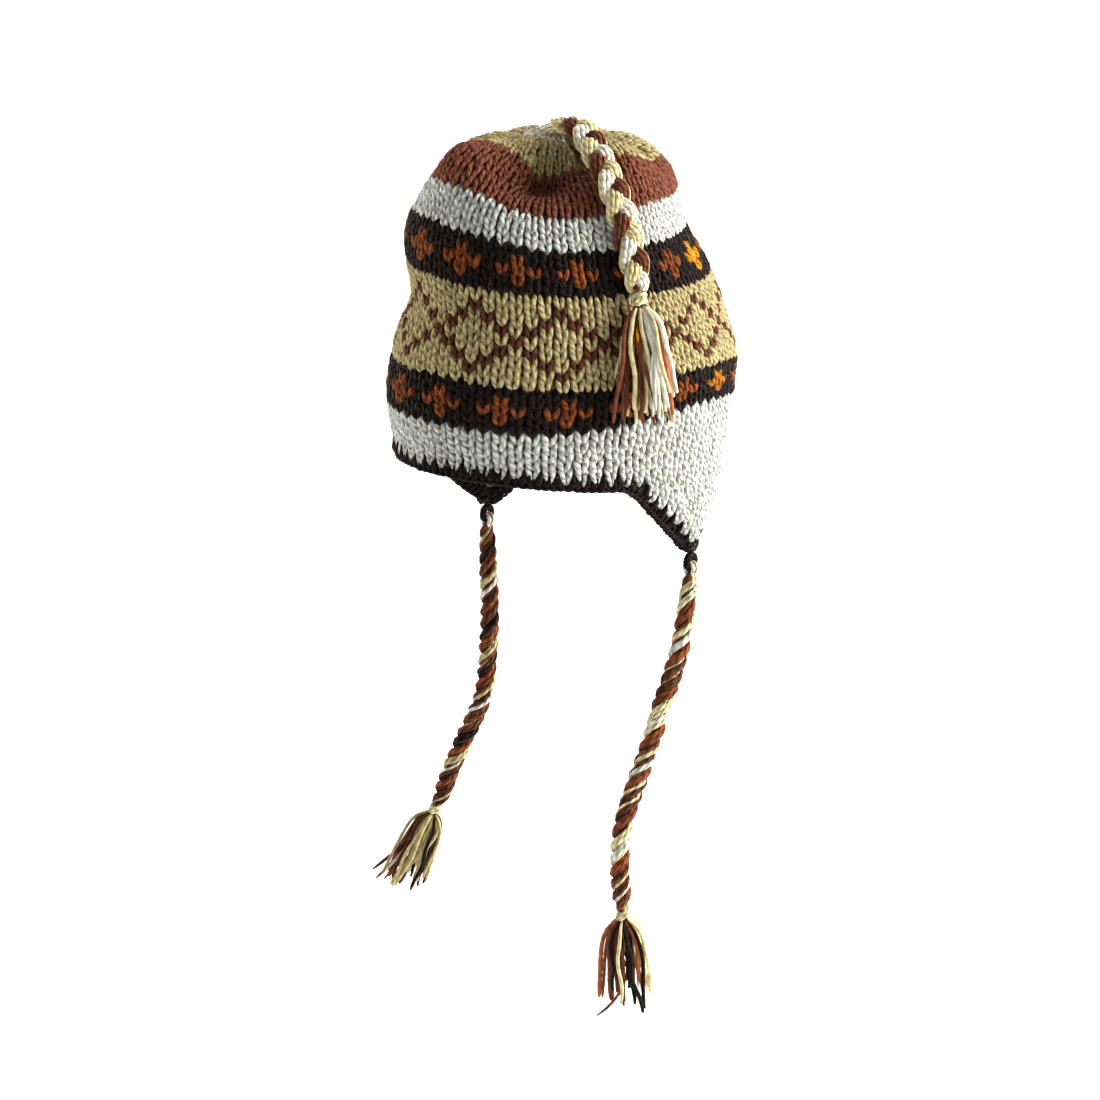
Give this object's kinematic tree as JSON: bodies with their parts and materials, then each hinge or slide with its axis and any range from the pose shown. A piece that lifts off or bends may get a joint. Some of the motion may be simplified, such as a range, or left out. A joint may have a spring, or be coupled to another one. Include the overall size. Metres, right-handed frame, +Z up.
{
  "type": "knitted earflap hat",
  "caption": "Knitted earflap hat with a gathered top, crocheted edging, a plait with a tassel falling from the crown and a plaited tie with a tassel on each flap.",
  "frame": {"origin": "middle of the head opening, level with the mean height of the rim, where a head wears the hat", "axes": "+Z up through the crown, -Y towards the wearer's face, +X towards the wearer's left"},
  "size_m": [0.2354, 0.2062, 0.4828],
  "materials": {
    "khaki_knit": "stocking-stitch wool knit, bands and small figures in five yarn colours",
    "white_knit_left": "white wool knit",
    "white_knit_right": "white wool knit",
    "dark_crochet": "dark brown wool crochet",
    "dark_loop_left": "dark brown wool crochet",
    "dark_loop_right": "dark brown wool crochet",
    "top_plait": "plaited wool yarns, white, cream, khaki and brown",
    "cream_wind_top": "cream wool yarn wound tight",
    "rust_tassel_top": "loose wool yarns",
    "left_plait": "plaited wool yarns, rust, cream, white and dark brown",
    "cream_wind_left": "cream wool yarn wound tight",
    "rust_tassel_left": "loose wool yarns",
    "right_plait": "plaited wool yarns, rust, cream, white and dark brown",
    "cream_wind_right": "cream wool yarn wound tight",
    "rust_tassel_right": "loose wool yarns"
  },
  "bodies": {
    "root": {"crown": "khaki_knit", "earflap_left": "white_knit_left", "earflap_right": "white_knit_right", "edging": "dark_crochet", "tip_loop_left": "dark_loop_left", "tip_loop_right": "dark_loop_right", "top_braid": "top_plait", "top_tassel_tie": "cream_wind_top", "top_tassel": "rust_tassel_top", "left_tie": "left_plait", "left_tassel_tie": "cream_wind_left", "left_tassel": "rust_tassel_left", "right_tie": "right_plait", "right_tassel_tie": "cream_wind_right", "right_tassel": "rust_tassel_right"}
  },
  "joints": []
}
